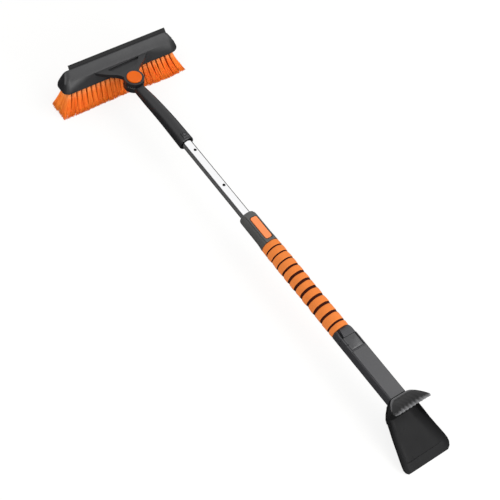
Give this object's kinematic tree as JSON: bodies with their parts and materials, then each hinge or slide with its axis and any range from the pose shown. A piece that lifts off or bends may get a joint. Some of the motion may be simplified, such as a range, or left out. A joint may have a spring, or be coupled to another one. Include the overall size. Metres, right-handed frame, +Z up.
{
  "type": "snow brush scraper",
  "caption": "Telescopic snow brush with a swivelling bristle head and squeegee, a foam grip, and a pull-off shovel blade with a toothed ice breaker.",
  "frame": {"origin": "on the ground under the middle of the whole tool's box, as it stands on its bristle tips and the blade's edge", "axes": "+X along the handle from the brush head to the shovel blade, +Y across, along the head, +Z up; the handle's axis dips 0.74 degrees towards +X"},
  "size_m": [0.9908, 0.278, 0.0925],
  "materials": {
    "black_plastic": "satin",
    "shaft_plastic": "satin",
    "grey_plastic": "satin",
    "orange_plastic": "gloss",
    "pale_orange_plastic": "satin",
    "foam": "matte",
    "bristle": "matte",
    "blade_rubber": "matte",
    "polished_aluminium": "polished",
    "black_aluminium": "satin",
    "steel": "satin",
    "nylon": "satin"
  },
  "bodies": {
    "grip": {"outer_tube": "black_aluminium", "guide_bush": "nylon", "collar": "black_plastic", "lever_pin": "steel", "lever_spring": "steel", "foam_grip": "foam", "end_ring": "shaft_plastic", "scraper_stub": "black_plastic"},
    "lever": {"lock_lever": "pale_orange_plastic", "latch_pin": "steel"},
    "tube": {"inner_tube": "polished_aluminium", "tail_guide": "nylon", "tube_plug": "black_plastic", "snap_spring": "steel"},
    "neck": {"neck_shell": "black_plastic", "friction_washer": "nylon", "pivot_retainer": "steel", "pivot_screw": "steel", "button_spring": "steel"},
    "snap": {"snap_button": "grey_plastic"},
    "head": {"head_housing": "black_plastic", "bristle_base": "black_plastic", "bristle_field": "bristle", "squeegee_blade": "blade_rubber", "base_screw_left": "steel", "base_screw_right": "steel"},
    "button": {"pivot_button": "orange_plastic"},
    "scraper": {"scraper_shaft": "shaft_plastic", "front_panel": "grey_plastic", "ice_breaker": "black_plastic", "shovel_blade": "black_plastic", "release_pin": "steel"},
    "release": {"release_button": "grey_plastic"}
  },
  "joints": [
    {"name": "tube_slide", "type": "slide", "parent": "grip", "child": "tube", "axis": [0.9999, 0, -0.0128], "range_m": [0, 0.1894]},
    {"name": "lever_press", "type": "hinge", "parent": "grip", "child": "lever", "pos_m": [-0.00635, 0, 0.07134], "axis": [0, 1, 0], "range_deg": [0, 2.6], "stiffness_Nm_per_rad": 0.8, "springref_deg": -5.73, "deforming": ["lever_spring"]},
    {"name": "neck_pull", "type": "slide", "parent": "tube", "child": "neck", "axis": [-0.9999, 0, 0.0128], "range_m": [0, 0.055]},
    {"name": "snap_press", "type": "slide", "parent": "neck", "child": "snap", "axis": [-0.0128, 0, -0.9999], "range_m": [0, 0.003], "stiffness_N_per_m": 600, "springref_m": -0.002, "deforming": ["snap_spring"]},
    {"name": "head_swivel", "type": "hinge", "parent": "neck", "child": "head", "pos_m": [-0.42001, -0.0058, 0.06165], "axis": [0.0128, 0, 0.9999], "range_deg": [-90, 90]},
    {"name": "button_press", "type": "slide", "parent": "neck", "child": "button", "axis": [-0.0128, 0, -0.9999], "range_m": [0, 0.0025], "stiffness_N_per_m": 800, "springref_m": -0.002, "deforming": ["button_spring"]},
    {"name": "scraper_pull", "type": "slide", "parent": "grip", "child": "scraper", "axis": [0.9999, 0, -0.0128], "range_m": [0, 0.045]},
    {"name": "release_press", "type": "hinge", "parent": "scraper", "child": "release", "pos_m": [0.2676, 0, 0.06571], "axis": [0, 1, 0], "range_deg": [0, 7.5], "stiffness_Nm_per_rad": 0.5, "springref_deg": -5.73}
  ]
}
